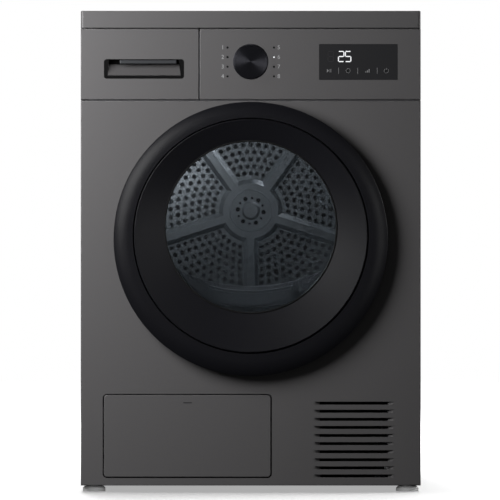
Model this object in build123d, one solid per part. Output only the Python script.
from build123d import *
import math
import os

# Front-loading heat-pump clothes dryer. Millimetres, +Z up, front faces -Y, floor at Z = 0.

# Overall size, the depth taken over the door ring and the rear cover
WIDTH = 600.0
HEIGHT = 850.0
DEPTH = 690.0
FOOT_GAP = 12.0

# Walls, seams and clearances
SHEET = 1.0
MOULDING = 2.5
BEND = 2.0
SEAM = 1.6
RUNNING = 0.05
ROLL_GAP = 0.3
SWING_GAP = 0.5

# Front layout
WORKTOP_HEIGHT = 30.0
WORKTOP_WALL = 1.2
WORKTOP_CORNER = 5.0
STRIP_HEIGHT = 127.0
SPLIT_INSET = 209.4
FRONT_ROUND = 1.8
FRONT_RETURN = 16.0
SIDE_FLANGE = 14.0
PRESSING_DEPTH = 2.0
PRESSING_MARGIN = 75.0
PRESSING_CORNER = 30.0

# Controls
KNOB_DROP = 90.5
KNOB_RADIUS = 31.2
KNOB_STAND = 18.0
KNOB_BEVEL = 2.0
KNOB_SHAFT = 3.0
LENS_X = 41.0
LENS_PITCH = 17.0
LENS_RADIUS = 1.9
LENS_FLANGE = 3.2
LENS_ROWS = 4
DISPLAY_INSET = 110.0
DISPLAY_WIDTH = 138.5
DISPLAY_HEIGHT = 63.0
DISPLAY_CORNER = 1.5
DISPLAY_GLASS = 2.0
DISPLAY_FIT = 0.2
BOARD_DEPTH = 22.0
BOARD_THICK = 1.8
BOARD_HEIGHT = 84.0
BOARD_POST = 4.0
ENCODER_SIZE = 16.0
ENCODER_HEIGHT = 12.0

# Water tank and its drawer front
GRIP_INSET = 111.7
GRIP_DROP = 102.8
GRIP_WIDTH = 141.4
GRIP_HEIGHT = 34.4
GRIP_CORNER = 5.0
GRIP_DEPTH = 24.0
GRIP_REACH = 11.0
GRIP_LEDGE = 6.0
TANK_SIDE_GAP = 3.0
TANK_TOP_GAP = 9.0
TANK_REAR_ROOM = 226.0
TANK_BOTTOM_DROP = 147.0
TANK_SLOPE = 26.5
TANK_WALL = 2.5
TANK_PLAY = 1.5
TANK_POUR_RADIUS = 18.0
TANK_POUR_BACK = 45.0
DRUM_TO_TANK = 12.0
BAY_WALL = 2.0
BAY_SHELF = 4.0

# Door
RING_DROP = 403.0
RING_RADIUS = 241.5
RING_STAND = 32.0
RING_CREST = 214.0
RING_CROWN = 45.0
RING_BACK_BEVEL = 3.0
RING_EDGE = 3.0
DOOR_GAP = 3.0
FUNNEL_RAISE = 5.6
FUNNEL_RADIUS = 205.6
FUNNEL_GAP = 2.0
FUNNEL_DROP = 1.0
FUNNEL_RIM = 2.0
FUNNEL_ROUND = 1.8
WINDOW_RAISE = 21.3
WINDOW_RADIUS = 152.3
WINDOW_GAP = 1.6
WINDOW_SEAT = 8.0
WINDOW_GLASS = 3.0
WINDOW_BOSS = 2.0
PLUG_RADIUS = 175.0
PLUG_DEPTH = 16.0
BOWL_RADIUS = 152.0
BOWL_FLANGE = 18.0
BOWL_DEPTH = 34.0
SEAL_WIDTH = 9.0
HINGE_INSET = 8.0
HINGE_STAND = 13.0
HINGE_PIN = 2.5
HINGE_KNUCKLE = 4.5
HINGE_ARM = 3.0
HINGE_HALF = 14.0
HINGE_EAR = 13.0
HINGE_PLATE = 26.0
DOOR_GRIP_HALF = 48.0
DOOR_GRIP_DEPTH = 20.0
HOOK_INSET = 28.0
HOOK_THICK = 4.0
HOOK_HALF = 8.0
HOOK_REACH = 14.0
CATCH_DEPTH = 24.0
CATCH_WALL = 3.0

# Porthole, front bulkhead and lint filter
PORTHOLE_RADIUS = 202.0
MOUTH_RADIUS = 185.0
MOUTH_WALL = 3.0
MOUTH_SETBACK = 2.0
BULKHEAD_WALL = 3.0
BULKHEAD_GAP = 4.0
BULKHEAD_REACH = 280.0
BULKHEAD_MARGIN = 6.0
SILL_DROP = 105.3
SILL_ARC = 300.0
SILL_THICK = 12.0
FILTER_HALF = 76.0
FILTER_THICK = 12.0
FILTER_TOP_DROP = 7.0
FILTER_REACH = 274.0
FILTER_PLAY = 1.0
FILTER_SLOTS = 9
FILTER_SLOT = 3.0
FILTER_SLOT_HEIGHT = 20.0
FILTER_GRIP_HALF = 14.0
FILTER_GRIP_HEIGHT = 12.0
SENSOR_LENGTH = 70.0
SENSOR_HEIGHT = 7.0
SENSOR_THICK = 2.0

# Drum
DRUM_DROP = 348.0
DRUM_RADIUS = 275.0
DRUM_REAR_ROOM = 77.0
DRUM_FRONT = 65.0
DRUM_LIP = 40.0
STAR_ARMS = 5
STAR_HALF_WIDTH = 14.6
STAR_RAISE = 8.0
STAR_DRAFT = 45.0
STAR_FIRST_ARM = 270.0
STAR_REACH = 236.0
STAR_HUB = 60.0
HUB_DOME = 17.5
HUB_DOME_TOP = 13.0
HUB_DOME_HEIGHT = 5.0
HOLE_RADIUS = 4.3
HOLE_FIRST_ROW = 71.3
HOLE_ROW_STEP = 13.45
HOLE_FIRST_COUNT = 5
HOLE_ROWS = 9
HOLE_TO_ARM = 20.5
LIFTER_COUNT = 3
LIFTER_HEIGHT = 52.0
LIFTER_HALF_WIDTH = 34.0
LIFTER_TIP_HALF = 12.0
LIFTER_END_GAP = 12.0
SHAFT_RADIUS = 12.0
SHAFT_FLANGE = 46.0
SHAFT_FLANGE_THICK = 4.0
BEARING_RADIUS = 22.0
BEARING_LENGTH = 20.0
SEAL_RING = 13.0
ROLLER_RADIUS = 22.0
ROLLER_WIDTH = 18.0
ROLLER_AXLE = 5.0
ROLLER_ANGLE = 35.0

# Rear air path
COVER_STAND = 18.0
COVER_RADIUS = 225.0
COVER_FLANGE = 20.0
COVER_SLOPE = 22.0
REAR_HOLE = 38.0
DUCT_GAP = 6.0
DUCT_DEPTH = 64.0
DUCT_WALL = 3.0
DUCT_MARGIN = 7.0
DUCT_STANDOFF = 8.0
DUCT_STANDOFFS = 4
DUCT_STANDOFF_RING = 235.0
NECK_WIDTH = 48.0
NECK_DEPTH = 56.0

# Drive
MOTOR_INSET = 165.0
MOTOR_Z = 130.0
MOTOR_RADIUS = 55.0
MOTOR_LENGTH = 96.0
MOTOR_SHAFT = 6.0
PULLEY_RADIUS = 9.0
PULLEY_FLANGE = 4.0
BELT_WIDTH = 12.0
BELT_THICK = 2.5
BELT_SIDE_GAP = 1.0
BELT_REAR = 112.0
FLANGE_THICK = 1.5
BRACKET_GAP = 5.5
BRACKET_THICK = 3.0
BRACKET_HALF = 60.0
BRACKET_RISE = 70.0
BRACKET_FOOT = 60.0
IDLER_ALONG = 0.6
IDLER_RADIUS = 15.0
IDLER_PIN = 4.0
IDLER_PIVOT_X = 100.0
IDLER_PIVOT_Z = 20.0
IDLER_ARM_HALF = 8.0
SPRING_WIRE = 0.8
SPRING_RADIUS = 7.0
SPRING_PITCH = 2.2
SPRING_TURNS = 4
BLOWER_RADIUS = 78.0
BLOWER_LENGTH = 38.0
BLOWER_BLADES = 18
BLOWER_HUB = 20.0
BLOWER_PLATE = 2.5
BLADE_DEPTH = 16.0
SCROLL_RADIUS = 95.0
SCROLL_WALL = 3.0
SCROLL_INLET = 50.0
SCROLL_FOOT = 20.0

# Base tray and heat pump
BASE_FLOOR = 4.0
BASE_WALL_HEIGHT = 40.0
BASE_WALL = 3.0
FOOT_RADIUS = 20.0
FOOT_PAD = 9.0
FOOT_STEM = 5.0
FOOT_STEM_TOP = 40.0
FOOT_NUT = 9.0
FOOT_BOSS = 14.0
FOOT_BOSS_HEIGHT = 22.0
FOOT_INSET_X = 22.0
FOOT_INSET_Y = 30.0
TUNNEL_MARGIN = 3.0
TUNNEL_REAR_ROOM = 237.0
TUNNEL_WALL = 3.0
TUNNEL_OUTLET = 50.0
EXCHANGER_GAP = 4.0
EVAPORATOR_LENGTH = 95.0
EXCHANGER_TAIL = 38.0
EXCHANGER_SPACE = 30.0
EXCHANGER_LEAD = 20.0
END_PLATE = 3.0
END_PLATE_LIP = 2.0
COMPRESSOR_INSET = 125.0
COMPRESSOR_BACK = 138.0
COMPRESSOR_RADIUS = 58.0
COMPRESSOR_HEIGHT = 140.0
COMPRESSOR_ROUND = 22.0
COMPRESSOR_PLATE = 72.0
COMPRESSOR_PLATE_THICK = 5.0
COMPRESSOR_LEGS = 3
COMPRESSOR_LEG_RADIUS = 9.0
COMPRESSOR_LEG_HEIGHT = 24.0
PIPE_RADIUS = 4.0
PIPE_BEND = 12.0
PIPE_HOLE_GAP = 3.0
PIPE_OFFSET = 22.0
PIPE_RISE = 18.0
PIPE_DROP_X = 22.0
PUMP_INSET = 150.0
PUMP_BACK = 137.0
PUMP_RADIUS = 30.0
PUMP_HEIGHT = 55.0
PUMP_SPOUT = 7.0
PUMP_SPOUT_LENGTH = 14.0
HOSE_RADIUS = 6.0
HOSE_BEND = 30.0
HOSE_SIDE_GAP = 8.0
HOSE_TOP_DROP = 85.0
HOSE_KINK_DROP = 160.0
HOSE_INSET = 36.0

# Lower access door, exchanger cover and its levers
ACCESS_INSET = 188.0
ACCESS_Z = 99.5
ACCESS_WIDTH = 294.5
ACCESS_HEIGHT = 144.6
ACCESS_CORNER = 6.0
ACCESS_GAP = 2.0
ACCESS_THICK = 3.0
ACCESS_RIB = 8.0
ACCESS_RIB_INSET = 12.0
ACCESS_RIB_FOOT = 26.0
ACCESS_PIN = 2.5
ACCESS_PIN_UP = 9.0
ACCESS_PIN_BACK = 8.0
ACCESS_LUG = 5.0
ACCESS_LUG_WIDTH = 6.0
ACCESS_LUG_INSET = 40.0
ACCESS_EAR_WIDTH = 4.0
ACCESS_EAR_RADIUS = 4.0
ACCESS_EAR_BACK = 30.0
COVER_BACK = 45.0
COVER_THICK = 5.0
COVER_MARGIN = 5.0
LEVER_INSET = 55.0
LEVER_LENGTH = 46.0
LEVER_HALF = 7.0
LEVER_THICK = 5.0
LEVER_PIN = 4.0

# Louvres beside the access door
LOUVRE_COUNT = 10
LOUVRE_TOP_Z = 160.2
LOUVRE_PITCH = 14.27
LOUVRE_LAND = 8.7
LOUVRE_SKIN = 0.48
LOUVRE_INSET = 118.0
LOUVRE_WIDTH = 142.0
LOUVRE_SLOT_WIDTH = 120.0
LOUVRE_SLOT = 4.6
LOUVRE_DEPTH = 6.0

# Rear fittings
INLET_INSET = 60.0
INLET_Z = 110.0
INLET_RADIUS = 13.0
INLET_FLANGE = 19.0
INLET_STAND = 10.0
INLET_BORE = 4.5
NOZZLE_INSET = 60.0
NOZZLE_DROP = 120.0
NOZZLE_RADIUS = 9.5
NOZZLE_BORE = 7.0
NOZZLE_LENGTH = 16.0
NOZZLE_FLANGE = 16.0
VENT_INSET = 85.0
VENT_Z = 120.0
VENT_WIDTH = 70.0
VENT_HEIGHT = 5.0
VENT_PITCH = 13.0
VENT_COUNT = 8
SCREW_HEAD = 4.5
SCREW_HEAD_HEIGHT = 2.5
SCREW_SHANK = 1.9
SCREW_ROWS = 4
SCREW_INSET = 8.0
SCREW_END_GAP = 60.0

# Levels and planes that follow from the sizes above
HALF = WIDTH / 2
INNER = HALF - SHEET
Y_FRONT = -DEPTH / 2 + RING_STAND
Y_REAR = DEPTH / 2 - COVER_STAND
Y_SIDE = Y_FRONT + FRONT_RETURN
Z_WORKTOP = HEIGHT - WORKTOP_HEIGHT
Z_STRIP = Z_WORKTOP - STRIP_HEIGHT
Z_FLOOR = FOOT_GAP + BASE_FLOOR
KNOB_Z = HEIGHT - KNOB_DROP
GRIP_Z = HEIGHT - GRIP_DROP
TANK_BOTTOM_Z = HEIGHT - TANK_BOTTOM_DROP
RING_Z = HEIGHT - RING_DROP
FUNNEL_Z = RING_Z + FUNNEL_RAISE
WINDOW_Z = RING_Z + WINDOW_RAISE
SILL_Z = WINDOW_Z - SILL_DROP
DRUM_Z = HEIGHT - DRUM_DROP
BULKHEAD_BOTTOM = DRUM_Z - BULKHEAD_REACH
FILTER_BOTTOM = DRUM_Z - FILTER_REACH
NOZZLE_Z = HEIGHT - NOZZLE_DROP
SPLIT_X = -HALF + SPLIT_INSET
DISPLAY_X = HALF - DISPLAY_INSET
GRIP_X = -HALF + GRIP_INSET
ACCESS_X = -HALF + ACCESS_INSET
LOUVRE_X = HALF - LOUVRE_INSET
MOTOR_X = HALF - MOTOR_INSET
COMPRESSOR_X = HALF - COMPRESSOR_INSET
PUMP_X = -HALF + PUMP_INSET
INLET_X = -HALF + INLET_INSET
NOZZLE_X = -HALF + NOZZLE_INSET
VENT_X = HALF - VENT_INSET
Y_DRUM = Y_FRONT + DRUM_FRONT
Y_DRUM_END = Y_REAR - DRUM_REAR_ROOM
Y_BULKHEAD = Y_DRUM - BULKHEAD_GAP
Y_TANK_END = Y_REAR - TANK_REAR_ROOM
Y_DUCT = Y_DRUM_END + DUCT_GAP
Y_DUCT_END = Y_DUCT + DUCT_DEPTH
Y_BELT = Y_DRUM_END - BELT_REAR
Y_BRACKET = Y_BELT + BELT_WIDTH / 2 + BELT_SIDE_GAP + FLANGE_THICK + BRACKET_GAP
Y_MOTOR = Y_BRACKET + BRACKET_THICK
Y_COVER = Y_FRONT + COVER_BACK
Y_TUNNEL = Y_COVER + COVER_THICK
Y_TUNNEL_END = Y_REAR - TUNNEL_REAR_ROOM
HINGE_X = RING_RADIUS - HINGE_INSET
Y_HINGE = Y_FRONT - HINGE_STAND
LINER_FRONT = DOOR_GAP + MOULDING
WINDOW_STAND = LINER_FRONT + WINDOW_GLASS
SEAM_RADIUS = FUNNEL_RADIUS + FUNNEL_GAP
ACCESS_X0 = ACCESS_X - ACCESS_WIDTH / 2
ACCESS_X1 = ACCESS_X + ACCESS_WIDTH / 2
ACCESS_Z0 = ACCESS_Z - ACCESS_HEIGHT / 2
ACCESS_Z1 = ACCESS_Z + ACCESS_HEIGHT / 2
TUNNEL_X0 = ACCESS_X0 - TUNNEL_MARGIN
TUNNEL_X1 = ACCESS_X1 + TUNNEL_MARGIN
TUNNEL_TOP = ACCESS_Z1 + 2 * TUNNEL_MARGIN
PIVOT_X = MOTOR_X + IDLER_PIVOT_X
PIVOT_Z = MOTOR_Z + IDLER_PIVOT_Z
COMPRESSOR_Y = Y_FRONT + COMPRESSOR_BACK
COMPRESSOR_Z = Z_FLOOR + COMPRESSOR_LEG_HEIGHT
PUMP_Y = Y_REAR - PUMP_BACK
NECK_X = MOTOR_X + SCROLL_RADIUS - NECK_WIDTH / 2 - 2 * SCROLL_WALL
DRUM_BACK_RADIUS = DRUM_RADIUS - SHEET
LIP_RADIUS = DRUM_RADIUS - DRUM_LIP
CASTER_R = DRUM_RADIUS + ROLLER_RADIUS + ROLL_GAP


def mid(span):
    return (span[0] + span[1]) / 2


def size(span):
    return span[1] - span[0]


def block(x, y, z):
    return Pos(mid(x), mid(y), mid(z)) * Box(size(x), size(y), size(z))


def barrel(radius, y, x=0.0, z=0.0):
    return Pos(x, mid(y), z) * Rot(90, 0, 0) * Cylinder(radius, size(y))


def tube(outer, inner, y, x=0.0, z=0.0):
    return barrel(outer, y, x, z) - barrel(inner, y, x, z)


def post(radius, z, x, y):
    return Pos(x, y, mid(z)) * Cylinder(radius, size(z))


def bar(radius, x, y, z):
    return Pos(mid(x), y, z) * Rot(0, 90, 0) * Cylinder(radius, size(x))


def facing(y):
    return Plane(origin=(0, y, 0), x_dir=(1, 0, 0), z_dir=(0, -1, 0))


def slab(sketch, y):
    return extrude(facing(y[1]) * sketch, amount=size(y))


def plate(x, z, y, corner):
    return slab(Pos(mid(x), mid(z)) * RectangleRounded(size(x), size(z), corner), y)


def frustum(near, far):
    # Skewed cone between two circles, each given as radius, height and y
    sections = [facing(y) * Pos(0, z) * Circle(r) for r, z, y in (near, far)]
    return loft(sections, ruled=True)


def turned(outline, z):
    return Pos(0, 0, z) * revolve(make_face(outline), axis=Axis.Y)


def proud(depth):
    # The y of a point that stands this far in front of the front panel
    return Y_FRONT - depth


def around(radius, degrees, z):
    return radius * math.cos(math.radians(degrees)), z + radius * math.sin(math.radians(degrees))


def front_edges(part):
    return part.faces().sort_by(Axis.Y)[0].outer_wire().edges()


def pan(x, z, depth, wall, y=None):
    # A shallow tray, open to the rear, with rounded front edges
    near = Y_FRONT if y is None else y
    body = block(x, (near, near + depth), z)
    body = fillet(front_edges(body), FRONT_ROUND)
    hollow = block((x[0] + wall, x[1] - wall), (near + wall, near + depth), (z[0] + wall, z[1] - wall))
    return body - hollow


# Cabinet
def worktop():
    body = block((-HALF, HALF), (Y_FRONT, Y_REAR), (Z_WORKTOP, HEIGHT))
    body = fillet(body.edges().filter_by(Axis.Z), WORKTOP_CORNER)
    body = fillet(body.faces().sort_by(Axis.Z)[-1].edges(), BEND)
    inner = HALF - WORKTOP_WALL
    hollow = block((-inner, inner), (Y_FRONT + WORKTOP_WALL, Y_REAR - WORKTOP_WALL),
                   (Z_WORKTOP, HEIGHT - WORKTOP_WALL))
    hollow = fillet(hollow.edges().filter_by(Axis.Z), WORKTOP_CORNER - WORKTOP_WALL)
    return body - hollow


def side_panel(side):
    y = (Y_SIDE, Y_REAR)
    z = (FOOT_GAP, Z_WORKTOP)
    sheet = block(sorted((side * HALF, side * INNER)), y, z)
    inward = sorted((side * INNER, side * (INNER - SIDE_FLANGE)))
    sheet += block(inward, (Y_SIDE, Y_SIDE + SHEET), z)
    sheet += block(inward, (Y_REAR - 2 * SHEET, Y_REAR - SHEET), z)
    plane = Plane(origin=(side * HALF, mid(y), mid(z)), x_dir=(0, 1, 0), z_dir=(-side, 0, 0))
    wide = size(y) - 2 * PRESSING_MARGIN
    tall = size(z) - 2 * PRESSING_MARGIN
    pad = RectangleRounded(wide + 2 * SHEET, tall + 2 * SHEET, PRESSING_CORNER + SHEET)
    dip = RectangleRounded(wide, tall, PRESSING_CORNER)
    sheet += extrude(plane * pad, amount=PRESSING_DEPTH + SHEET)
    return sheet - extrude(plane * dip, amount=PRESSING_DEPTH)


def rear_panel():
    sheet = block((-INNER, INNER), (Y_REAR - SHEET, Y_REAR), (FOOT_GAP, Z_WORKTOP))
    through = (Y_REAR - 2 * SHEET, Y_REAR + SHEET)
    cuts = [barrel(REAR_HOLE, through, 0, DRUM_Z)]
    cuts.append(barrel(INLET_RADIUS + RUNNING, through, INLET_X, INLET_Z))
    cuts.append(barrel(NOZZLE_RADIUS + RUNNING, through, NOZZLE_X, NOZZLE_Z))
    for row in range(VENT_COUNT):
        z = VENT_Z + (row - (VENT_COUNT - 1) / 2) * VENT_PITCH
        slot = Pos(VENT_X, z) * SlotOverall(VENT_WIDTH, VENT_HEIGHT)
        cuts.append(slab(slot, through))
    cuts += [barrel(SCREW_SHANK + RUNNING, through, x, z) for x, z in rear_screw_places()]
    return sheet - cuts


def rear_screw_places():
    low = FOOT_GAP + SCREW_END_GAP
    step = (Z_WORKTOP - SCREW_END_GAP - low) / (SCREW_ROWS - 1)
    return [(s * (INNER - SCREW_INSET), low + i * step) for s in (-1, 1) for i in range(SCREW_ROWS)]


def rear_screws():
    heads = []
    for x, z in rear_screw_places():
        head = barrel(SCREW_HEAD, (Y_REAR, Y_REAR + SCREW_HEAD_HEIGHT), x, z)
        head = fillet(head.faces().sort_by(Axis.Y)[-1].edges(), SCREW_HEAD_HEIGHT / 2)
        heads.append(head + barrel(SCREW_SHANK, (Y_REAR - SHEET, Y_REAR), x, z))
    return Compound(heads)


def rear_cover():
    rim = COVER_RADIUS - COVER_FLANGE
    flat = rim - COVER_SLOPE
    out = Y_REAR + COVER_STAND
    outer = Polyline((0, Y_REAR), (COVER_RADIUS, Y_REAR), (COVER_RADIUS, Y_REAR + SHEET),
                     (rim, Y_REAR + SHEET), (flat, out), (0, out), close=True)
    inner = Polyline((0, Y_REAR), (rim - SHEET, Y_REAR), (flat - SHEET, out - SHEET),
                     (0, out - SHEET), close=True)
    return turned(outer, DRUM_Z) - turned(inner, DRUM_Z)


def louvre(index):
    # A scoop pressed inwards: its face slopes in going down and ends at an open slot
    top = LOUVRE_TOP_Z - index * LOUVRE_PITCH
    low = top - LOUVRE_PITCH + LOUVRE_LAND

    def scoop(grow, near, far):
        front = Pos(LOUVRE_X, mid((low - grow, top + grow)))
        front *= Rectangle(LOUVRE_WIDTH + 2 * grow, size((low - grow, top + grow)))
        back = Pos(LOUVRE_X, mid((low - grow, low + LOUVRE_SLOT + grow)))
        back *= Rectangle(LOUVRE_SLOT_WIDTH + 2 * grow, LOUVRE_SLOT + 2 * grow)
        return loft([facing(near) * front, facing(far) * back], ruled=True)

    back = Y_FRONT + LOUVRE_DEPTH
    return scoop(LOUVRE_SKIN, Y_FRONT + SHEET / 2, back), scoop(0, Y_FRONT, back)


def front_panel():
    z = (FOOT_GAP, Z_STRIP - SEAM)
    body = pan((-HALF, HALF), z, FRONT_RETURN, SHEET)
    for s in (-1, 1):
        lip = sorted((s * INNER, s * (INNER - SIDE_FLANGE)))
        body += block(lip, (Y_SIDE - SHEET, Y_SIDE), z)
    through = (Y_FRONT - SHEET, Y_FRONT + 2 * SHEET)
    body -= barrel(PORTHOLE_RADIUS, through, 0, WINDOW_Z)
    gap = ACCESS_GAP
    body -= plate((ACCESS_X0 - gap, ACCESS_X1 + gap), (ACCESS_Z0 - gap, ACCESS_Z1 + gap), through,
                  ACCESS_CORNER + gap)
    arm = HINGE_ARM / 2 + SWING_GAP
    reach = HINGE_HALF + SWING_GAP
    body -= block((HINGE_X - arm, HINGE_X + arm), through, (RING_Z - reach, RING_Z + reach))
    hook_x = -RING_RADIUS + HOOK_INSET
    room = HOOK_THICK / 2 + 2 * SWING_GAP
    body -= block((hook_x - room, hook_x + room), through,
                  (RING_Z - HOOK_HALF - SWING_GAP, RING_Z + HOOK_HALF + SWING_GAP))
    scoops = [louvre(i) for i in range(LOUVRE_COUNT)]
    body += [shell for shell, _ in scoops]
    return body - [hollow for _, hollow in scoops]


def foot_places():
    x = HALF - FOOT_INSET_X
    return [(sx * x, y) for sx in (-1, 1) for y in (Y_SIDE + FOOT_INSET_Y, Y_REAR - FOOT_INSET_Y)]


def compressor_legs():
    step = 360 / COMPRESSOR_LEGS
    ring = COMPRESSOR_PLATE - COMPRESSOR_LEG_RADIUS
    return [(COMPRESSOR_X + ring * math.cos(math.radians(90 + i * step)),
             COMPRESSOR_Y + ring * math.sin(math.radians(90 + i * step))) for i in range(COMPRESSOR_LEGS)]


def base_tray():
    y = (Y_SIDE + SHEET, Y_REAR - 2 * SHEET)
    body = block((-INNER, INNER), y, (FOOT_GAP, Z_FLOOR))
    wall = (Z_FLOOR, FOOT_GAP + BASE_WALL_HEIGHT)
    for s in (-1, 1):
        body += block(sorted((s * INNER, s * (INNER - BASE_WALL))), y, wall)
    body += block((-INNER, INNER), (y[1] - BASE_WALL, y[1]), wall)
    tunnel_y = (Y_TUNNEL, Y_TUNNEL_END)
    body += block((TUNNEL_X0, TUNNEL_X1), tunnel_y, (Z_FLOOR, TUNNEL_TOP))
    inside = (TUNNEL_X0 + TUNNEL_WALL, TUNNEL_X1 - TUNNEL_WALL)
    body -= block(inside, (Y_TUNNEL, Y_TUNNEL_END - TUNNEL_WALL), (Z_FLOOR, TUNNEL_TOP - TUNNEL_WALL))
    end = (Y_TUNNEL_END - 2 * TUNNEL_WALL, Y_TUNNEL_END + TUNNEL_WALL)
    body -= barrel(TUNNEL_OUTLET, end, mid(inside), ACCESS_Z)
    hole = PIPE_RADIUS + PIPE_HOLE_GAP
    beyond = (TUNNEL_X1 - 2 * TUNNEL_WALL, TUNNEL_X1 + TUNNEL_WALL)
    body -= [bar(hole, beyond, y_pipe, z_pipe) for y_pipe, z_pipe in pipe_ports()]
    body += [post(FOOT_BOSS, (FOOT_GAP, Z_FLOOR + FOOT_BOSS_HEIGHT), x, fy) for x, fy in foot_places()]
    stem = (0, HEIGHT / 2)
    body -= [post(FOOT_STEM + RUNNING, stem, x, fy) for x, fy in foot_places()]
    legs = [post(COMPRESSOR_LEG_RADIUS, (Z_FLOOR, COMPRESSOR_Z), x, ly) for x, ly in compressor_legs()]
    return body + legs


def levelling_feet():
    feet = []
    for x, y in foot_places():
        pad = post(FOOT_RADIUS, (0, FOOT_PAD), x, y)
        pad = chamfer(pad.faces().sort_by(Axis.Z)[-1].edges(), FOOT_PAD / 3)
        nut = Pos(x, y, FOOT_PAD) * extrude(RegularPolygon(FOOT_NUT, 6), amount=FOOT_GAP - FOOT_PAD)
        feet.append(pad + nut + post(FOOT_STEM, (FOOT_GAP, FOOT_STEM_TOP), x, y))
    return Compound(feet)


# Controls
def strip_z():
    return (Z_STRIP, Z_WORKTOP - SEAM)


def lens_places():
    first = KNOB_Z - LENS_PITCH * (LENS_ROWS - 1) / 2
    return [(s * LENS_X, first + i * LENS_PITCH) for s in (-1, 1) for i in range(LENS_ROWS)]


def board_x():
    edge = DISPLAY_X + DISPLAY_WIDTH / 2
    return (-LENS_X - ENCODER_SIZE, edge)


def control_fascia():
    body = pan((SPLIT_X + SEAM / 2, HALF), strip_z(), FRONT_RETURN, MOULDING)
    through = (Y_FRONT - SHEET, Y_FRONT + 2 * MOULDING)
    body -= barrel(KNOB_SHAFT + SWING_GAP, through, 0, KNOB_Z)
    body -= [barrel(LENS_RADIUS + RUNNING, through, x, z) for x, z in lens_places()]
    seat = (Y_FRONT - SHEET, Y_FRONT + DISPLAY_GLASS)
    pocket = RectangleRounded(DISPLAY_WIDTH + 2 * DISPLAY_FIT, DISPLAY_HEIGHT + 2 * DISPLAY_FIT,
                              DISPLAY_CORNER)
    body -= slab(Pos(DISPLAY_X, KNOB_Z) * pocket, seat)
    ends = board_x()
    rise = BOARD_HEIGHT / 2 - BOARD_POST
    legs = (Y_FRONT + MOULDING, Y_FRONT + BOARD_DEPTH)
    posts = (ends[0] + BOARD_POST, ends[1] - BOARD_POST)
    corners = [(x, KNOB_Z + s * rise) for x in posts for s in (-1, 1)]
    return body + [barrel(BOARD_POST, legs, x, z) for x, z in corners]


def display_glass():
    face = Pos(DISPLAY_X, KNOB_Z) * RectangleRounded(DISPLAY_WIDTH, DISPLAY_HEIGHT, DISPLAY_CORNER)
    return slab(face, (Y_FRONT, Y_FRONT + DISPLAY_GLASS))


def indicator_lenses():
    stem = (Y_FRONT - RUNNING, Y_FRONT + MOULDING)
    flange = (Y_FRONT + MOULDING, Y_FRONT + 2 * MOULDING)
    return Compound([barrel(LENS_RADIUS, stem, x, z) + barrel(LENS_FLANGE, flange, x, z)
                     for x, z in lens_places()])


def control_board():
    y = Y_FRONT + BOARD_DEPTH
    half = BOARD_HEIGHT / 2
    body = block(board_x(), (y, y + BOARD_THICK), (KNOB_Z - half, KNOB_Z + half))
    side = ENCODER_SIZE / 2
    body += block((-side, side), (y - ENCODER_HEIGHT, y), (KNOB_Z - side, KNOB_Z + side))
    return body - barrel(KNOB_SHAFT + RUNNING, (y - ENCODER_HEIGHT, y - BOARD_THICK), 0, KNOB_Z)


def program_knob():
    body = barrel(KNOB_RADIUS, (proud(KNOB_STAND), proud(SWING_GAP)), 0, KNOB_Z)
    body = chamfer(body.faces().sort_by(Axis.Y)[0].edges(), KNOB_BEVEL)
    end = Y_FRONT + BOARD_DEPTH - BOARD_THICK - 2 * SWING_GAP
    return body + barrel(KNOB_SHAFT, (proud(SWING_GAP), end), 0, KNOB_Z)


# Water tank
def tank_ends():
    start = Y_FRONT + GRIP_DEPTH + 2 * MOULDING
    return (start, Y_TANK_END)


def tank_section(grow):
    # The lower right corner is cut off along a line that clears the drum
    left = -INNER + SIDE_FLANGE + TANK_SIDE_GAP
    right = SPLIT_X - SEAM - MOULDING - TANK_PLAY - BAY_WALL
    top = Z_WORKTOP - TANK_TOP_GAP
    slope = math.radians(TANK_SLOPE)
    clear = DRUM_RADIUS + DRUM_TO_TANK
    right_z = DRUM_Z + (clear + right * math.sin(slope)) / math.cos(slope)
    low_x = ((TANK_BOTTOM_Z - DRUM_Z) * math.cos(slope) - clear) / math.sin(slope)
    outline = Polyline((left, TANK_BOTTOM_Z), (low_x, TANK_BOTTOM_Z), (right, right_z), (right, top),
                       (left, top), close=True)
    face = make_face(outline)
    return offset(face, grow, kind=Kind.INTERSECTION) if grow else face


def tank_body():
    y = tank_ends()
    inside = (y[0] + TANK_WALL, y[1] - TANK_WALL)
    body = slab(tank_section(0), y) - slab(tank_section(-TANK_WALL), inside)
    pour_y = y[1] - TANK_POUR_BACK
    return body - post(TANK_POUR_RADIUS, (Z_STRIP + STRIP_HEIGHT / 2, HEIGHT), GRIP_X, pour_y)


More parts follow.
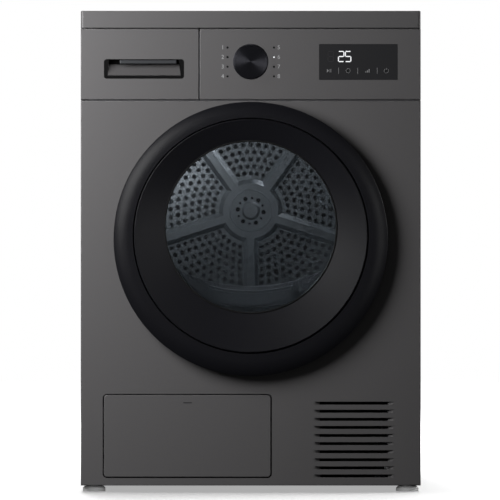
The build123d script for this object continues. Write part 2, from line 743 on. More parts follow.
def tank_front():
    body = pan((-HALF, SPLIT_X - SEAM / 2), strip_z(), FRONT_RETURN - SWING_GAP, MOULDING)
    wide = GRIP_WIDTH / 2
    tall = GRIP_HEIGHT / 2
    x = (GRIP_X - wide, GRIP_X + wide)
    z = (GRIP_Z - tall, GRIP_Z + tall + GRIP_REACH)
    inside = (Y_FRONT + MOULDING, Y_FRONT + GRIP_DEPTH + MOULDING)
    back = (Y_FRONT + MOULDING, Y_FRONT + GRIP_DEPTH + 2 * MOULDING)
    body += block((x[0] - MOULDING, x[1] + MOULDING), back, (z[0] - MOULDING, z[1] + MOULDING))
    body -= block(x, inside, z)
    mouth = Pos(GRIP_X, GRIP_Z) * RectangleRounded(GRIP_WIDTH, GRIP_HEIGHT, GRIP_CORNER)
    body -= slab(mouth, (Y_FRONT - SHEET, Y_FRONT + 2 * MOULDING))
    # The floor of the recess leans back, so that fingers slide up behind the upper edge
    low = z[0] + GRIP_LEDGE
    high = GRIP_Z + tall - GRIP_LEDGE - MOULDING
    lean = Plane(origin=(x[0], 0, 0), x_dir=(0, 1, 0), z_dir=(1, 0, 0))
    wedge = make_face(Polyline((inside[0], low), (inside[1], low), (inside[1], high),
                               (inside[1] - GRIP_LEDGE, high), close=True))
    return body + extrude(lean * wedge, amount=GRIP_WIDTH)


def tank_bay():
    ends = tank_ends()
    y = (ends[0] + SWING_GAP, ends[1] + TANK_PLAY)
    outer = slab(tank_section(TANK_PLAY + BAY_WALL), (y[0], y[1] + BAY_WALL))
    body = outer - slab(tank_section(TANK_PLAY), y)
    left = -INNER + SIDE_FLANGE + TANK_SIDE_GAP - TANK_PLAY - BAY_WALL
    shelf_z = (Z_WORKTOP - 2 * TANK_TOP_GAP, Z_WORKTOP - 2 * TANK_TOP_GAP + BAY_SHELF)
    return body + block((-INNER, left), (y[0] + SIDE_FLANGE, y[1]), shelf_z)


# Door
def ring_outline(inset):
    # Half section of the ring's outside: flat crest, crowned flank, straight rim
    edge = RING_RADIUS - inset
    run = edge - RING_CREST
    crown = RING_CROWN - inset
    top = RING_STAND - inset
    drop = crown - math.sqrt(crown ** 2 - run ** 2)
    half = crown - math.sqrt(crown ** 2 - (run / 2) ** 2)
    line = Polyline((edge, proud(top - drop)), (edge, proud(DOOR_GAP)), (0, proud(DOOR_GAP)),
                    (0, proud(top)), (RING_CREST, proud(top)))
    flank = ThreePointArc((RING_CREST, proud(top)), (RING_CREST + run / 2, proud(top - half)),
                          (edge, proud(top - drop)))
    return line + flank


def hinge_z():
    reach = HINGE_HALF + SWING_GAP + HINGE_EAR
    return (RING_Z - reach, RING_Z + reach)


def hinge_notch():
    # Room in the door for the fixed arm to swing past the rim, and for the knuckles
    z = hinge_z()
    top = HINGE_STAND + HINGE_KNUCKLE + SWING_GAP
    left = HINGE_X - HINGE_KNUCKLE - SWING_GAP
    return block((left, RING_RADIUS + SHEET), (proud(top), proud(0)), (z[0] - SWING_GAP, z[1] + SWING_GAP))


def grip_notch(grow):
    # Finger space behind the left edge of the ring
    top = RING_STAND - 4 * MOULDING
    inner = -RING_RADIUS + DOOR_GRIP_DEPTH
    half = DOOR_GRIP_HALF
    return block((-RING_RADIUS - SHEET, inner + grow), (proud(top + grow), proud(0)),
                 (RING_Z - half - grow, RING_Z + half + grow))


def door_ring():
    solid = turned(ring_outline(0), RING_Z)
    rim = solid.edges().filter_by(GeomType.CIRCLE).filter_by(lambda e: abs(e.radius - RING_RADIUS) < SHEET)
    solid = fillet(rim.sort_by(Axis.Y)[0], RING_EDGE)
    back = solid.edges().filter_by(GeomType.CIRCLE).sort_by(Axis.Y)[-1]
    solid = chamfer(back, RING_BACK_BEVEL)
    hollow = turned(ring_outline(MOULDING), RING_Z)
    seam = barrel(SEAM_RADIUS, (proud(2 * RING_STAND), Y_FRONT), 0, FUNNEL_Z)
    depth = (proud(2 * RING_STAND), proud(LINER_FRONT))
    wall = tube(SEAM_RADIUS + MOULDING, SEAM_RADIUS, depth, 0, FUNNEL_Z)
    pocket = grip_notch(MOULDING) & solid
    body = solid - hollow - seam + (wall & solid) + pocket
    return body - grip_notch(0) - hinge_notch()


def door_funnel():
    top = RING_STAND - FUNNEL_DROP
    mouth = FUNNEL_RADIUS - FUNNEL_RIM
    seat = WINDOW_STAND
    body = barrel(FUNNEL_RADIUS, (proud(top), proud(LINER_FRONT)), 0, FUNNEL_Z)
    body = fillet(body.faces().sort_by(Axis.Y)[0].edges(), FUNNEL_ROUND)
    front = frustum((mouth, FUNNEL_Z, proud(top)), (WINDOW_RADIUS, WINDOW_Z, proud(seat + MOULDING)))
    rear = frustum((mouth, FUNNEL_Z, proud(top - MOULDING)),
                   (WINDOW_RADIUS + 2 * MOULDING, WINDOW_Z, proud(seat)))
    inside = FUNNEL_RADIUS - MOULDING
    behind = barrel(inside, (proud(top - MOULDING), proud(LINER_FRONT)), 0, FUNNEL_Z) - rear
    hole = barrel(WINDOW_RADIUS, (proud(top), proud(LINER_FRONT)), 0, WINDOW_Z)
    return body - front - behind - hole


def door_window():
    boss = WINDOW_RADIUS - WINDOW_GAP
    body = barrel(WINDOW_RADIUS + WINDOW_SEAT, (proud(WINDOW_STAND), proud(LINER_FRONT)), 0, WINDOW_Z)
    body += barrel(boss, (proud(WINDOW_STAND + WINDOW_BOSS), proud(WINDOW_STAND)), 0, WINDOW_Z)
    return fillet(body.faces().sort_by(Axis.Y)[0].edges(), SHEET)


def door_liner():
    edge = RING_RADIUS - MOULDING - RING_BACK_BEVEL
    body = barrel(edge, (proud(LINER_FRONT), proud(DOOR_GAP)), 0, RING_Z)
    plug = (proud(DOOR_GAP), Y_FRONT + PLUG_DEPTH)
    body += tube(PLUG_RADIUS, PLUG_RADIUS - MOULDING, plug, 0, WINDOW_Z)
    body -= barrel(BOWL_RADIUS, (proud(LINER_FRONT), Y_FRONT), 0, WINDOW_Z)
    return body - grip_notch(MOULDING) - hinge_notch()


def door_bowl():
    # A shallow glass dome with a flat flange against the liner
    flange = BOWL_RADIUS + BOWL_FLANGE
    y0 = proud(DOOR_GAP)
    y1 = y0 + WINDOW_GLASS
    deep = Y_FRONT + BOWL_DEPTH

    def dome(radius, start, end):
        # The dome's half arc, from its rim to its pole
        rise = end - start
        ball = (radius ** 2 + rise ** 2) / (2 * rise)
        centre = end - ball
        angle = math.asin(radius / ball) / 2
        middle = (ball * math.sin(angle), centre + ball * math.cos(angle))
        return ThreePointArc((radius, start), middle, (0, end))

    inner = BOWL_RADIUS - WINDOW_GLASS
    top = dome(BOWL_RADIUS, y1, deep)
    under = dome(inner, y0, deep - WINDOW_GLASS)
    rim = Polyline((inner, y0), (flange, y0), (flange, y1), (BOWL_RADIUS, y1))
    axis = Line((0, deep), (0, deep - WINDOW_GLASS))
    return turned(rim + top + axis + under, WINDOW_Z)


def door_seal():
    rim = PLUG_RADIUS + 5 * MOULDING
    return tube(rim + SEAL_WIDTH, rim, (proud(DOOR_GAP), Y_FRONT + MOUTH_SETBACK - ROLL_GAP), 0, WINDOW_Z)


def door_hook():
    x = -RING_RADIUS + HOOK_INSET
    half = HOOK_THICK / 2
    z = (RING_Z - HOOK_HALF, RING_Z + HOOK_HALF)
    stem = block((x - half, x + half), (proud(DOOR_GAP), Y_FRONT + HOOK_REACH), z)
    return fillet(stem.edges().filter_by(Axis.Z).sort_by(Axis.Y)[-2:], HOOK_THICK / 3)


def door_catch():
    x = -RING_RADIUS + HOOK_INSET
    wide = HOOK_THICK / 2 + 2 * SWING_GAP
    tall = HOOK_HALF + 2 * SWING_GAP
    y = (Y_FRONT + SHEET, Y_FRONT + SHEET + CATCH_DEPTH)
    outer = wide + CATCH_WALL
    ends = tall + CATCH_WALL
    body = block((x - outer, x + outer), y, (RING_Z - ends, RING_Z + ends))
    return body - block((x - wide, x + wide), (y[0], y[1] - CATCH_WALL), (RING_Z - tall, RING_Z + tall))


def hinge_bracket():
    half = HINGE_ARM / 2
    z = (RING_Z - HINGE_HALF, RING_Z + HINGE_HALF)
    knuckle = post(HINGE_KNUCKLE, z, HINGE_X, Y_HINGE)
    arm = block((HINGE_X - half, HINGE_X + half), (Y_HINGE, Y_FRONT + SHEET), z)
    behind = (Y_FRONT + SHEET, Y_FRONT + SHEET + HINGE_ARM)
    wide = (HINGE_X - HINGE_PLATE, HINGE_X + HINGE_PLATE)
    back = block(wide, behind, (RING_Z - HINGE_PLATE, RING_Z + HINGE_PLATE))
    pin = post(HINGE_PIN, hinge_z(), HINGE_X, Y_HINGE)
    return knuckle + arm + back + pin


def hinge_leaf():
    z = hinge_z()
    bore = HINGE_PIN + RUNNING
    inner = HINGE_HALF + SWING_GAP
    left = SEAM_RADIUS + MOULDING + SWING_GAP
    ears = []
    for span in ((z[0], RING_Z - inner), (RING_Z + inner, z[1])):
        ear = post(HINGE_KNUCKLE, span, HINGE_X, Y_HINGE)
        ear += block((left, HINGE_X), (Y_HINGE, Y_HINGE + HINGE_ARM), span)
        ears.append(ear)
    right = HINGE_X - HINGE_KNUCKLE - 2 * SWING_GAP
    foot = block((left, right), (Y_HINGE, proud(LINER_FRONT)), z)
    return foot + ears - post(bore, (z[0] - SHEET, z[1] + SHEET), HINGE_X, Y_HINGE)


# Front bulkhead and lint filter
def sill_front():
    return Y_BULKHEAD - SILL_THICK


def filter_span():
    back = sill_front() - SWING_GAP
    return (back - FILTER_THICK, back)


def sill(radius, y, drop):
    # Crescent at the foot of the mouth, under a wide arc
    arc = barrel(SILL_ARC, (y[0] - SHEET, y[1] + SHEET), 0, SILL_Z - drop + SILL_ARC)
    return barrel(radius, y, 0, WINDOW_Z) - arc


def roller_places():
    swing = math.radians(ROLLER_ANGLE)
    return [(s * CASTER_R * math.sin(swing), DRUM_Z - CASTER_R * math.cos(swing)) for s in (-1, 1)]


def front_bulkhead():
    y = (Y_BULKHEAD - BULKHEAD_WALL, Y_BULKHEAD)
    front = Y_FRONT + MOUTH_SETBACK
    outer = MOUTH_RADIUS + MOUTH_WALL
    bay_low = TANK_BOTTOM_Z - TANK_PLAY - BAY_WALL
    body = block((-INNER, INNER), y, (BULKHEAD_BOTTOM, bay_low - BULKHEAD_MARGIN))
    body += barrel(outer, (front, Y_BULKHEAD), 0, WINDOW_Z)
    body += barrel(PORTHOLE_RADIUS - SWING_GAP, (front, front + MOUTH_WALL), 0, WINDOW_Z)
    span = filter_span()
    play = FILTER_PLAY
    half = FILTER_HALF + play
    channel = (span[0] - play, span[1] + SWING_GAP)
    body += block((-half - MOULDING, half + MOULDING), (channel[0] - MOULDING, Y_BULKHEAD),
                  (BULKHEAD_BOTTOM, WINDOW_Z - MOUTH_RADIUS + MOUTH_WALL))
    body -= barrel(MOUTH_RADIUS, (Y_FRONT, Y_DRUM), 0, WINDOW_Z)
    body += sill(MOUTH_RADIUS + SHEET, (sill_front(), Y_BULKHEAD), 0)
    body -= block((-half, half), channel, (FILTER_BOTTOM - play, WINDOW_Z))
    axle = (Y_BULKHEAD, Y_DRUM + ROLLER_WIDTH + BULKHEAD_GAP)
    return body + [barrel(ROLLER_AXLE, axle, x, z) for x, z in roller_places()]


def lint_filter():
    y = filter_span()
    across = (-FILTER_HALF, FILTER_HALF)
    foot = WINDOW_Z - MOUTH_RADIUS + 4 * MOULDING
    body = sill(MOUTH_RADIUS - FILTER_PLAY, y, FILTER_TOP_DROP)
    body &= block(across, y, (FILTER_BOTTOM, WINDOW_Z))
    body += block(across, y, (FILTER_BOTTOM, foot))
    face_z = mid((foot, SILL_Z - FILTER_TOP_DROP))
    tall = FILTER_SLOT_HEIGHT / 2
    half = FILTER_SLOT / 2
    pitch = (FILTER_HALF - FILTER_GRIP_HALF) / (FILTER_SLOTS + 1)
    places = [FILTER_GRIP_HALF + (i + 1) * pitch for i in range(FILTER_SLOTS)]
    deep = (y[0], y[0] + FILTER_SLOT)
    high = (face_z - tall, face_z + tall)
    cuts = [block((s * x - half, s * x + half), deep, high) for x in places for s in (-1, 1)]
    grip = FILTER_GRIP_HEIGHT / 2
    half = FILTER_GRIP_HALF
    cuts.append(block((-half, half), (y[0], mid(y)), (face_z - grip, face_z + grip)))
    return body - cuts


def sensor_bars():
    z = SILL_Z - 2 * SENSOR_HEIGHT
    y = (Y_BULKHEAD, Y_BULKHEAD + SENSOR_THICK)
    rows = (z, z - 2 * SENSOR_HEIGHT)
    across = (-SENSOR_LENGTH / 2, SENSOR_LENGTH / 2)
    half = SENSOR_HEIGHT / 2
    return Compound([block(across, y, (row - half, row + half)) for row in rows])


# Drum
def drum_shell():
    y = (Y_DRUM, Y_DRUM_END)
    body = tube(DRUM_RADIUS, DRUM_BACK_RADIUS, y, 0, DRUM_Z)
    return body + tube(DRUM_RADIUS, LIP_RADIUS, (Y_DRUM, Y_DRUM + SHEET), 0, DRUM_Z)


def star_face(inset):
    face = Circle(STAR_HUB - inset)
    wide = 2 * (STAR_HALF_WIDTH - inset)
    for i in range(STAR_ARMS):
        turn = STAR_FIRST_ARM + i * 360 / STAR_ARMS
        arm = Pos(STAR_REACH / 2, 0) * Rectangle(STAR_REACH - 2 * inset, wide)
        face += Rot(0, 0, turn) * arm
    return face


def hole_places():
    # Curved rows between the arms of the star, each with one hole more than the row inside it
    places = []
    sector = 2 * math.pi / STAR_ARMS
    for arm in range(STAR_ARMS):
        start = math.radians(STAR_FIRST_ARM) + arm * sector
        for row in range(HOLE_ROWS):
            radius = HOLE_FIRST_ROW + row * HOLE_ROW_STEP
            edge = math.asin(HOLE_TO_ARM / radius)
            step = (sector - 2 * edge) / (HOLE_FIRST_COUNT + row - 1)
            turns = [start + edge + i * step for i in range(HOLE_FIRST_COUNT + row)]
            places += [(radius * math.cos(t), radius * math.sin(t)) for t in turns]
    return places


def drum_back():
    y = (Y_DRUM_END - SHEET, Y_DRUM_END)
    holes = [Pos(x, z) * Circle(HOLE_RADIUS) for x, z in hole_places()]
    body = Pos(0, 0, DRUM_Z) * slab(Circle(DRUM_BACK_RADIUS) - holes, y)
    at = Pos(0, 0, DRUM_Z)
    raised = at * extrude(facing(y[0]) * star_face(0), amount=STAR_RAISE, taper=STAR_DRAFT)
    hollow = at * extrude(facing(y[1]) * star_face(2 * SHEET), amount=STAR_RAISE, taper=STAR_DRAFT)
    face = y[0] - STAR_RAISE
    dome = Cone(HUB_DOME, HUB_DOME_TOP, HUB_DOME_HEIGHT)
    boss = Pos(0, face - HUB_DOME_HEIGHT / 2, DRUM_Z) * Rot(90, 0, 0) * dome
    return body + raised - hollow + boss


def drum_lifters():
    y = (Y_DRUM + LIFTER_END_GAP, Y_DRUM_END - LIFTER_END_GAP - STAR_RAISE)
    seat = DRUM_BACK_RADIUS
    lifters = []
    skin = barrel(seat, (Y_DRUM, Y_DRUM_END), 0, 0)
    for i in range(LIFTER_COUNT):
        outline = Polyline((-LIFTER_HALF_WIDTH, seat), (-LIFTER_TIP_HALF, seat - LIFTER_HEIGHT),
                           (LIFTER_TIP_HALF, seat - LIFTER_HEIGHT), (LIFTER_HALF_WIDTH, seat), close=True)
        lifter = slab(make_face(outline), y) & skin
        lifters.append(Pos(0, 0, DRUM_Z) * Rot(0, i * 360 / LIFTER_COUNT, 0) * lifter)
    return Compound(lifters)


def drum_shaft():
    y = Y_DRUM_END
    body = barrel(SHAFT_FLANGE, (y, y + SHAFT_FLANGE_THICK), 0, DRUM_Z)
    return body + barrel(SHAFT_RADIUS, (y + SHAFT_FLANGE_THICK, Y_DUCT_END - 2 * DUCT_WALL), 0, DRUM_Z)


def bearing_span():
    end = Y_DUCT_END - DUCT_WALL
    return (end - BEARING_LENGTH, end)


def rear_bearing():
    return tube(BEARING_RADIUS, SHAFT_RADIUS + RUNNING, bearing_span(), 0, DRUM_Z)


def duct_radius():
    return DRUM_RADIUS - DUCT_MARGIN


def rear_duct():
    y = (Y_DUCT, Y_DUCT_END)
    radius = duct_radius()
    wall = DUCT_WALL
    half = NECK_WIDTH / 2
    neck_y = (Y_DUCT, Y_DUCT + NECK_DEPTH)
    join = DRUM_Z - radius / 2
    body = barrel(radius, y, 0, DRUM_Z)
    body += block((NECK_X - half, NECK_X + half), neck_y, (scroll_top(), join))
    body -= barrel(radius - wall, (y[0], y[1] - wall), 0, DRUM_Z)
    throat = (NECK_X - half + wall, NECK_X + half - wall)
    body -= block(throat, (neck_y[0] + wall, neck_y[1] - wall), (scroll_top(), join))
    seat = bearing_span()
    body += tube(BEARING_RADIUS + 3 * wall, BEARING_RADIUS, seat, 0, DRUM_Z)
    for i in range(DUCT_STANDOFFS):
        x, z = around(DUCT_STANDOFF_RING, 360 / DUCT_STANDOFFS * (i + 1 / 2), DRUM_Z)
        body += barrel(DUCT_STANDOFF, (y[1], Y_REAR - SHEET), x, z)
    return body


def drum_seals():
    front = tube(DRUM_RADIUS - SEAL_RING, LIP_RADIUS + SHEET, (Y_BULKHEAD, Y_DRUM - ROLL_GAP), 0, DRUM_Z)
    rear = tube(duct_radius(), duct_radius() - SEAL_RING, (Y_DRUM_END + ROLL_GAP, Y_DUCT), 0, DRUM_Z)
    return Compound([front, rear])


def support_roller(place):
    x, z = place
    y = (Y_DRUM + SHEET, Y_DRUM + SHEET + ROLLER_WIDTH)
    body = tube(ROLLER_RADIUS, ROLLER_AXLE + RUNNING, y, x, z)
    rims = body.edges().filter_by(GeomType.CIRCLE).filter_by(lambda e: e.radius > ROLLER_RADIUS - SHEET)
    return chamfer(rims, SHEET)


# Drive
def tangent_normal(side):
    # Unit normal of the straight belt run on one side, and the centres' distance
    dx = MOTOR_X
    dz = MOTOR_Z - DRUM_Z
    span = math.hypot(dx, dz)
    ux, uz = dx / span, dz / span
    lean = (DRUM_RADIUS - PULLEY_RADIUS) / span
    rise = math.sqrt(1 - lean ** 2)
    return ux * lean - side * uz * rise, uz * lean + side * ux * rise


def belt_face(grow):
    drum_r = DRUM_RADIUS + ROLL_GAP + grow
    pulley_r = PULLEY_RADIUS + ROLL_GAP + grow
    ends = []
    for side in (1, -1):
        nx, nz = tangent_normal(side)
        on_drum = (drum_r * nx, DRUM_Z + drum_r * nz)
        ends.append((on_drum, (MOTOR_X + pulley_r * nx, MOTOR_Z + pulley_r * nz)))
    (drum_a, pulley_a), (drum_b, pulley_b) = ends
    away = math.hypot(MOTOR_X, MOTOR_Z - DRUM_Z)
    ux, uz = MOTOR_X / away, (MOTOR_Z - DRUM_Z) / away
    far = (-drum_r * ux, DRUM_Z - drum_r * uz)
    low = (MOTOR_X + pulley_r * ux, MOTOR_Z + pulley_r * uz)
    lines = ThreePointArc(drum_a, far, drum_b) + Line(drum_b, pulley_b)
    lines += ThreePointArc(pulley_b, low, pulley_a) + Line(pulley_a, drum_a)
    return make_face(lines)


def belt_span():
    return (Y_BELT - BELT_WIDTH / 2, Y_BELT + BELT_WIDTH / 2)


def drive_belt():
    return slab(belt_face(BELT_THICK) - belt_face(0), belt_span())


def idler_place():
    # Against the outside of the right-hand belt run
    nx, nz = tangent_normal(1)
    reach = BELT_THICK + 2 * ROLL_GAP + IDLER_RADIUS
    x = (1 - IDLER_ALONG) * DRUM_RADIUS * nx + IDLER_ALONG * (MOTOR_X + PULLEY_RADIUS * nx)
    drum_z = DRUM_Z + DRUM_RADIUS * nz
    pulley_z = MOTOR_Z + PULLEY_RADIUS * nz
    return x + reach * nx, (1 - IDLER_ALONG) * drum_z + IDLER_ALONG * pulley_z + reach * nz


def pulley_span():
    side = BELT_WIDTH / 2 + BELT_SIDE_GAP
    return (Y_BELT - side, Y_BELT + side)


def motor():
    y = (Y_MOTOR, Y_MOTOR + MOTOR_LENGTH)
    body = barrel(MOTOR_RADIUS, y, MOTOR_X, MOTOR_Z)
    body = fillet(body.edges().filter_by(GeomType.CIRCLE), BEND)
    return body - barrel(MOTOR_SHAFT + RUNNING, y, MOTOR_X, MOTOR_Z)


def motor_bracket():
    y = (Y_BRACKET, Y_MOTOR)
    x = (MOTOR_X - BRACKET_HALF, PIVOT_X + 2 * IDLER_ARM_HALF)
    body = block(x, y, (Z_FLOOR, MOTOR_Z + BRACKET_RISE))
    foot = (Z_FLOOR, Z_FLOOR + BRACKET_THICK)
    body += block(x, (Y_MOTOR, Y_MOTOR + BRACKET_FOOT), foot)
    body -= barrel(PULLEY_RADIUS + PULLEY_FLANGE, (y[0] - SHEET, y[1]), MOTOR_X, MOTOR_Z)
    return body + barrel(IDLER_PIN, (pulley_span()[0], y[0]), PIVOT_X, PIVOT_Z)


def motor_pulley():
    span = pulley_span()
    flange = PULLEY_RADIUS + PULLEY_FLANGE
    body = barrel(PULLEY_RADIUS, span, MOTOR_X, MOTOR_Z)
    body += barrel(flange, (span[0] - FLANGE_THICK, span[0]), MOTOR_X, MOTOR_Z)
    body += barrel(flange, (span[1], span[1] + FLANGE_THICK), MOTOR_X, MOTOR_Z)
    return body + barrel(MOTOR_SHAFT, (span[0], blower_span()[1]), MOTOR_X, MOTOR_Z)


def arm_span():
    start = pulley_span()[1] + FLANGE_THICK + SWING_GAP
    return (start, Y_BRACKET - SWING_GAP)


def idler_arm():
    y = arm_span()
    x, z = idler_place()
    long = math.hypot(x - PIVOT_X, z - PIVOT_Z)
    turn = math.degrees(math.atan2(z - PIVOT_Z, x - PIVOT_X))
    centre = Pos((x + PIVOT_X) / 2, (z + PIVOT_Z) / 2)
    body = slab(centre * Rot(0, 0, turn) * SlotCenterToCenter(long, 2 * IDLER_ARM_HALF), y)
    body -= barrel(IDLER_PIN + RUNNING, y, PIVOT_X, PIVOT_Z)
    return body + barrel(IDLER_PIN, (pulley_span()[0], y[0]), x, z)


def idler_pulley():
    x, z = idler_place()
    return tube(IDLER_RADIUS, IDLER_PIN + RUNNING, pulley_span(), x, z)


def idler_spring():
    # Torsion spring round the pivot pin, in front of the arm
    start = arm_span()[0] - SPRING_WIRE - SWING_GAP
    coil = Helix(SPRING_PITCH, SPRING_PITCH * SPRING_TURNS, SPRING_RADIUS)
    wire = sweep(Plane(coil @ 0, z_dir=coil % 0) * Circle(SPRING_WIRE), path=coil)
    return Pos(PIVOT_X, start, PIVOT_Z) * Rot(90, 0, 0) * wire


def scroll_top():
    return MOTOR_Z + SCROLL_RADIUS + 2 * SCROLL_WALL


def blower_span():
    inside = Y_DUCT + SCROLL_WALL
    gap = (NECK_DEPTH - 2 * SCROLL_WALL - BLOWER_LENGTH) / 2
    return (inside + gap, inside + gap + BLOWER_LENGTH)


def blower_housing():
    y = (Y_DUCT, Y_DUCT + NECK_DEPTH)
    wall = SCROLL_WALL
    inside = (y[0] + wall, y[1] - wall)
    half = NECK_WIDTH / 2
    top = scroll_top()
    body = barrel(SCROLL_RADIUS, y, MOTOR_X, MOTOR_Z)
    body += block((NECK_X - half, NECK_X + half), y, (MOTOR_Z, top))
    body += block((MOTOR_X - SCROLL_FOOT, MOTOR_X + SCROLL_FOOT), y, (Z_FLOOR, MOTOR_Z))
    body -= barrel(SCROLL_RADIUS - wall, inside, MOTOR_X, MOTOR_Z)
    body -= block((NECK_X - half + wall, NECK_X + half - wall), inside, (MOTOR_Z, top))
    return body - barrel(SCROLL_INLET, (y[0], inside[0]), MOTOR_X, MOTOR_Z)


def blower_wheel():
    y = blower_span()
    back = (y[1] - BLOWER_PLATE, y[1])
    body = barrel(BLOWER_RADIUS, back, MOTOR_X, MOTOR_Z) + barrel(BLOWER_HUB, y, MOTOR_X, MOTOR_Z)
    body += tube(BLOWER_RADIUS, BLOWER_RADIUS - BLADE_DEPTH, (y[0], y[0] + BLOWER_PLATE), MOTOR_X, MOTOR_Z)
    half = BLOWER_PLATE / 2
    root = BLOWER_RADIUS - BLADE_DEPTH + SHEET
    blade = block((root, BLOWER_RADIUS - SHEET), (y[0] + half, y[1] - half), (-half, half))
    step = 360 / BLOWER_BLADES
    at = Pos(MOTOR_X, 0, MOTOR_Z)
    body += [at * Rot(0, i * step, 0) * blade for i in range(BLOWER_BLADES)]
    return body - barrel(MOTOR_SHAFT, y, MOTOR_X, MOTOR_Z)


# Heat pump
def exchanger_spans():
    start = Y_TUNNEL + EXCHANGER_LEAD
    middle = start + EVAPORATOR_LENGTH
    return (start, middle), (middle + EXCHANGER_SPACE, Y_TUNNEL_END - EXCHANGER_TAIL)


def exchanger_x():
    room = TUNNEL_WALL + EXCHANGER_GAP
    return (TUNNEL_X0 + room, TUNNEL_X1 - room)


def heat_exchangers():
    x = exchanger_x()
    lip = END_PLATE_LIP
    z = (Z_FLOOR + lip, TUNNEL_TOP - TUNNEL_WALL - EXCHANGER_GAP)
    packs = []
    for y in exchanger_spans():
        pack = block(x, y, z)
        for end in ((x[0], x[0] + END_PLATE), (x[1] - END_PLATE, x[1])):
            pack += block(end, (y[0] - lip, y[1] + lip), (z[0] - lip, z[1] + lip))
        packs.append(pack)
    return Compound(packs)


def pipe_ports():
    # Where the pipes leave the exchangers, as y and z
    cold, hot = exchanger_spans()
    high = TUNNEL_TOP - 3 * PIPE_BEND
    low = Z_FLOOR + 3 * PIPE_BEND
    return [(mid(cold), high), (mid(hot), high), (mid(cold) - 2 * PIPE_BEND, low), (mid(hot), low)]


def pipe(points):
    path = FilletPolyline(*points, radius=PIPE_BEND)
    return sweep(Plane(path @ 0, z_dir=path % 0) * Circle(PIPE_RADIUS), path=path)


def refrigerant_pipes():
    suction, delivery, liquid_in, liquid_out = pipe_ports()
    face = exchanger_x()[1]
    drop = TUNNEL_X1 + PIPE_DROP_X
    top = COMPRESSOR_Z + COMPRESSOR_PLATE_THICK + COMPRESSOR_HEIGHT
    level = top + PIPE_RISE
    pipes = []
    for (y, z), x in ((suction, COMPRESSOR_X - PIPE_OFFSET), (delivery, COMPRESSOR_X + PIPE_OFFSET)):
        rise = [(x, COMPRESSOR_Y, top), (x, COMPRESSOR_Y, level), (x, y, level)]
        pipes.append(pipe(rise + [(drop, y, level), (drop, y, z), (face, y, z)]))
    (y0, z0), (y1, z1) = liquid_in, liquid_out
    pipes.append(pipe([(face, y0, z0), (drop, y0, z0), (drop, y1, z1), (face, y1, z1)]))
    return Compound(pipes)


def compressor():
    z = (COMPRESSOR_Z, COMPRESSOR_Z + COMPRESSOR_PLATE_THICK)
    can = post(COMPRESSOR_RADIUS, (z[1], z[1] + COMPRESSOR_HEIGHT), COMPRESSOR_X, COMPRESSOR_Y)
    can = fillet(can.faces().sort_by(Axis.Z)[-1].edges(), COMPRESSOR_ROUND)
    return can + post(COMPRESSOR_PLATE, z, COMPRESSOR_X, COMPRESSOR_Y)


def drain_pump():
    body = post(PUMP_RADIUS, (Z_FLOOR, Z_FLOOR + PUMP_HEIGHT), PUMP_X, PUMP_Y)
    z = Z_FLOOR + PUMP_HEIGHT / 2
    return body + bar(PUMP_SPOUT, (PUMP_X - PUMP_RADIUS - PUMP_SPOUT_LENGTH, PUMP_X), PUMP_Y, z)


def drain_hose():
    # From the pump up the left side to the back of the tank bay
    spout = PUMP_X - PUMP_RADIUS - PUMP_SPOUT_LENGTH
    side = -INNER + PRESSING_DEPTH + SHEET + HOSE_SIDE_GAP
    inlet = -INNER + HOSE_INSET
    low = Z_FLOOR + PUMP_HEIGHT / 2
    kink = HEIGHT - HOSE_KINK_DROP
    top = HEIGHT - HOSE_TOP_DROP
    end = Y_TANK_END + TANK_PLAY + BAY_WALL
    climb = [(spout, PUMP_Y, low), (side, PUMP_Y, low), (side, PUMP_Y, kink)]
    path = FilletPolyline(*climb, (inlet, PUMP_Y, top), (inlet, end, top), radius=HOSE_BEND)
    return sweep(Plane(path @ 0, z_dir=path % 0) * Circle(HOSE_RADIUS), path=path)


# Access door, exchanger cover and levers
def access_pin():
    return Y_FRONT + ACCESS_PIN_BACK, ACCESS_Z0 + ACCESS_PIN_UP


def lug_places():
    return (ACCESS_X0 + ACCESS_LUG_INSET, ACCESS_X1 - ACCESS_LUG_INSET)


def access_door():
    y = (Y_FRONT, Y_FRONT + ACCESS_THICK)
    body = plate((ACCESS_X0, ACCESS_X1), (ACCESS_Z0, ACCESS_Z1), y, ACCESS_CORNER)
    body = fillet(front_edges(body), SHEET)
    inset = ACCESS_RIB_INSET
    x = (ACCESS_X0 + inset, ACCESS_X1 - inset)
    z = (ACCESS_Z0 + ACCESS_RIB_FOOT, ACCESS_Z1 - inset)
    rib = (y[1], y[1] + ACCESS_RIB)
    frame = plate(x, z, rib, ACCESS_CORNER)
    wall = MOULDING
    frame -= plate((x[0] + wall, x[1] - wall), (z[0] + wall, z[1] - wall), rib, ACCESS_CORNER - wall)
    body += frame
    pin_y, pin_z = access_pin()
    half = ACCESS_LUG_WIDTH / 2
    for at in lug_places():
        wide = (at - half, at + half)
        body += block(wide, (y[1], pin_y), (pin_z - ACCESS_LUG, pin_z + ACCESS_LUG))
        body += bar(ACCESS_LUG, wide, pin_y, pin_z)
        body -= bar(ACCESS_PIN + RUNNING, wide, pin_y, pin_z)
    return body


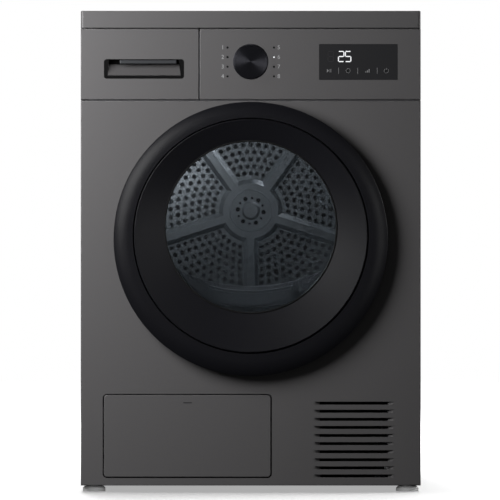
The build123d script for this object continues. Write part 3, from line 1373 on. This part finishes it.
def access_hinge():
    # Two ears on legs that stand behind the sweep of the door's lower edge
    pin_y, pin_z = access_pin()
    half = ACCESS_LUG_WIDTH / 2
    sweep_radius = math.hypot(ACCESS_PIN_BACK, ACCESS_PIN_UP)
    leg_y = (pin_y + sweep_radius + SWING_GAP, Y_FRONT + ACCESS_EAR_BACK)
    top = pin_z + ACCESS_EAR_RADIUS
    ears = []
    for at in lug_places():
        ear = (at + half + SWING_GAP, at + half + SWING_GAP + ACCESS_EAR_WIDTH)
        body = block(ear, (pin_y, leg_y[1]), (pin_z - ACCESS_EAR_RADIUS, top))
        body += block(ear, leg_y, (Z_FLOOR, top)) + bar(ACCESS_EAR_RADIUS, ear, pin_y, pin_z)
        ears.append(body + bar(ACCESS_PIN, (at - half, ear[1]), pin_y, pin_z))
    return Compound(ears)


def lever_places():
    return (ACCESS_X0 + LEVER_INSET, ACCESS_X1 - LEVER_INSET)


def exchanger_cover():
    margin = COVER_MARGIN
    x = (TUNNEL_X0 + margin - TUNNEL_WALL, TUNNEL_X1 - margin + TUNNEL_WALL)
    z = (Z_FLOOR, TUNNEL_TOP - margin + TUNNEL_WALL)
    body = block(x, (Y_COVER, Y_TUNNEL), z)
    pins = (Y_COVER - LEVER_THICK - 2 * SWING_GAP, Y_COVER)
    return body + [barrel(LEVER_PIN, pins, at, ACCESS_Z) for at in lever_places()]


def cover_lever(at):
    y = (Y_COVER - LEVER_THICK - SWING_GAP, Y_COVER - SWING_GAP)
    bar_face = Pos(at, ACCESS_Z) * Rot(0, 0, 90) * SlotCenterToCenter(LEVER_LENGTH, 2 * LEVER_HALF)
    body = slab(bar_face, y)
    return body - barrel(LEVER_PIN + RUNNING, y, at, ACCESS_Z)


# Rear fittings
def mains_inlet():
    flange = barrel(INLET_FLANGE, (Y_REAR, Y_REAR + 2 * SHEET), INLET_X, INLET_Z)
    body = flange + barrel(INLET_RADIUS, (Y_REAR - 4 * SHEET, Y_REAR + INLET_STAND), INLET_X, INLET_Z)
    body = fillet(body.faces().sort_by(Axis.Y)[-1].edges(), BEND)
    return body - barrel(INLET_BORE, (Y_REAR - INLET_STAND, Y_REAR + 2 * INLET_STAND), INLET_X, INLET_Z)


def drain_nozzle():
    body = barrel(NOZZLE_FLANGE, (Y_REAR, Y_REAR + 2 * SHEET), NOZZLE_X, NOZZLE_Z)
    body += barrel(NOZZLE_RADIUS, (Y_REAR - 4 * SHEET, Y_REAR + NOZZLE_LENGTH), NOZZLE_X, NOZZLE_Z)
    through = (Y_REAR - NOZZLE_LENGTH, Y_REAR + 2 * NOZZLE_LENGTH)
    return body - barrel(NOZZLE_BORE, through, NOZZLE_X, NOZZLE_Z)


SINGLE_NODES = [
    worktop, rear_panel, rear_screws, rear_cover, front_panel, base_tray, levelling_feet,
    control_fascia, display_glass, indicator_lenses, control_board, program_knob,
    tank_front, tank_body, tank_bay,
    door_ring, door_funnel, door_window, door_liner, door_bowl, door_seal, door_hook, door_catch,
    hinge_bracket, hinge_leaf, front_bulkhead, lint_filter, sensor_bars,
    drum_shell, drum_back, drum_lifters, drum_shaft, rear_bearing, rear_duct, drum_seals,
    drive_belt, motor, motor_bracket, motor_pulley, idler_arm, idler_pulley, idler_spring,
    blower_housing, blower_wheel, heat_exchangers, refrigerant_pipes, compressor, drain_pump, drain_hose,
    access_door, access_hinge, exchanger_cover, mains_inlet, drain_nozzle,
]
nodes = {make.__name__: make() for make in SINGLE_NODES}
for name, side in (("left", -1), ("right", 1)):
    nodes[name + "_side_panel"] = side_panel(side)
for name, place in zip(("left", "right"), roller_places()):
    nodes["roller_" + name] = support_roller(place)
for name, place in zip(("left", "right"), lever_places()):
    nodes["cover_lever_" + name] = cover_lever(place)

os.makedirs("parts", exist_ok=True)
for name, part in nodes.items():
    export_step(part, "parts/" + name + ".step")
